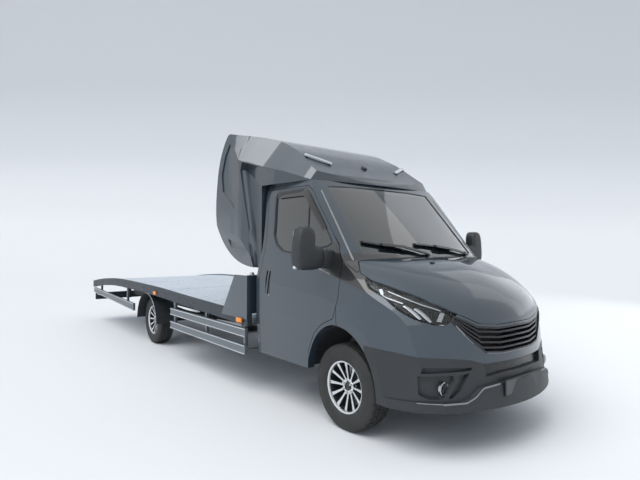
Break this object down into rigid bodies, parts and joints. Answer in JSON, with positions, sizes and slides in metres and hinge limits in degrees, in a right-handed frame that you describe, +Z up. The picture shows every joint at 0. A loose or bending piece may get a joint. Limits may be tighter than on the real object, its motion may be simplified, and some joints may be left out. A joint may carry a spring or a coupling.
{
  "type": "car transporter truck",
  "caption": "Flat-platform car transporter truck with a two-door cab, roof sleeping pod, arched aluminium deck, opening doors and bonnet, steered front wheels and free-rolling wheels.",
  "frame": {"origin": "on the ground, at the middle of the bounding box", "axes": "+X forward, +Y to the vehicle's left, +Z up"},
  "size_m": [8.3997, 2.57, 2.7149],
  "materials": {
    "body_paint": "gloss",
    "rail_paint": "satin",
    "frame_paint": "satin",
    "black_plastic": "matte",
    "cast_metal": "rough",
    "glass": "clear",
    "lamp_clear": "gloss",
    "lamp_amber": "gloss",
    "lamp_red": "gloss",
    "deck_metal": "satin",
    "guard_metal": "brushed",
    "zinc_steel": "satin",
    "rim_metal": "machined",
    "seat_fabric": "woven",
    "tyre": "matte"
  },
  "bodies": {
    "chassis": {"chassis_frame": "frame_paint", "engine_block": "cast_metal", "front_axle_beam": "frame_paint", "rear_axle": "frame_paint", "rear_springs": "frame_paint", "prop_shaft": "frame_paint", "fuel_tank": "black_plastic", "cab_shell": "body_paint", "front_wings": "body_paint", "front_bumper": "black_plastic", "grille": "black_plastic", "headlamps": "lamp_clear", "windscreen": "glass", "sleeper_pod": "body_paint", "dashboard": "black_plastic", "steering_wheel": "black_plastic", "seats": "seat_fabric", "platform_deck": "deck_metal", "platform_bearers": "zinc_steel", "side_rails": "rail_paint", "headboard": "body_paint", "side_guards": "guard_metal", "rear_underrun": "rail_paint", "tail_lamps": "lamp_red", "wheel_liners": "black_plastic", "marker_lamps": "lamp_amber", "wipers": "black_plastic"},
    "bonnet": {"bonnet": "body_paint"},
    "door_right": {"door_right": "body_paint", "door_glass_right": "glass", "mirror_right": "black_plastic"},
    "knuckle_right": {"knuckle_right": "cast_metal"},
    "wheel_front_right": {"tyre_front_right": "tyre", "rim_front_right": "rim_metal"},
    "wheel_rear_right": {"tyre_rear_right": "tyre", "rim_rear_right": "rim_metal"},
    "door_left": {"door_left": "body_paint", "door_glass_left": "glass", "mirror_left": "black_plastic"},
    "knuckle_left": {"knuckle_left": "cast_metal"},
    "wheel_front_left": {"tyre_front_left": "tyre", "rim_front_left": "rim_metal"},
    "wheel_rear_left": {"tyre_rear_left": "tyre", "rim_rear_left": "rim_metal"}
  },
  "joints": [
    {"name": "bonnet_hinge", "type": "hinge", "parent": "chassis", "child": "bonnet", "pos_m": [3.225, 0, 1.405], "axis": [0, -1, 0], "range_deg": [0, 60]},
    {"name": "door_right_hinge", "type": "hinge", "parent": "chassis", "child": "door_right", "pos_m": [3.1625, -1.004, 1.2], "axis": [0, 0, 1], "range_deg": [0, 70]},
    {"name": "steer_right", "type": "hinge", "parent": "chassis", "child": "knuckle_right", "pos_m": [3.14, -0.625, 0.35], "axis": [0, 0, 1], "range_deg": [-35, 35]},
    {"name": "spin_front_right", "type": "hinge", "parent": "knuckle_right", "child": "wheel_front_right", "pos_m": [3.14, -0.8125, 0.35], "axis": [0, 1, 0], "continuous": true},
    {"name": "spin_rear_right", "type": "hinge", "parent": "chassis", "child": "wheel_rear_right", "pos_m": [-1.21, -0.82, 0.35], "axis": [0, 1, 0], "continuous": true},
    {"name": "door_left_hinge", "type": "hinge", "parent": "chassis", "child": "door_left", "pos_m": [3.1625, 1.004, 1.2], "axis": [0, 0, -1], "range_deg": [0, 70]},
    {"name": "steer_left", "type": "hinge", "parent": "chassis", "child": "knuckle_left", "pos_m": [3.14, 0.625, 0.35], "axis": [0, 0, 1], "range_deg": [-35, 35]},
    {"name": "spin_front_left", "type": "hinge", "parent": "knuckle_left", "child": "wheel_front_left", "pos_m": [3.14, 0.8125, 0.35], "axis": [0, 1, 0], "continuous": true},
    {"name": "spin_rear_left", "type": "hinge", "parent": "chassis", "child": "wheel_rear_left", "pos_m": [-1.21, 0.82, 0.35], "axis": [0, 1, 0], "continuous": true}
  ],
  "couplings": [
    {"joint": "steer_left", "follows": "steer_right", "ratio": 1}
  ]
}
